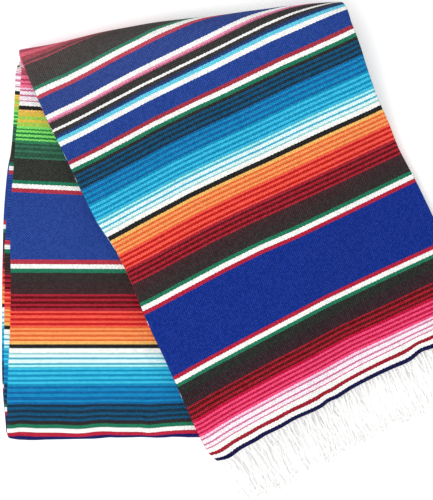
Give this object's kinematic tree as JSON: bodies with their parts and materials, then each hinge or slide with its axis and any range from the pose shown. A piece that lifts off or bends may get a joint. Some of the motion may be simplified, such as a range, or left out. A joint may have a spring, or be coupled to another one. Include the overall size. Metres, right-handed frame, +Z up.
{
  "type": "folded striped serape blanket",
  "caption": "Hand-woven striped wool blanket with fringed ends, folded into a thick band and folded once more at the top, lying flat.",
  "frame": {"origin": "middle of the footprint, on the surface the blanket lies on", "axes": "+Z up out of the surface, +Y from the hem towards the top fold, +X to the right as seen from above"},
  "size_m": [0.6264, 0.6274, 0.0597],
  "materials": {
    "striped_wool": "matt weft-faced weave with fine ribs and many coloured stripes",
    "warp_cotton": "soft white cotton strands, lightly twisted"
  },
  "bodies": {
    "root": {"front_stretch": "striped_wool", "back_stretch": "striped_wool", "folded_layers": "striped_wool", "fringe": "warp_cotton"}
  },
  "joints": []
}
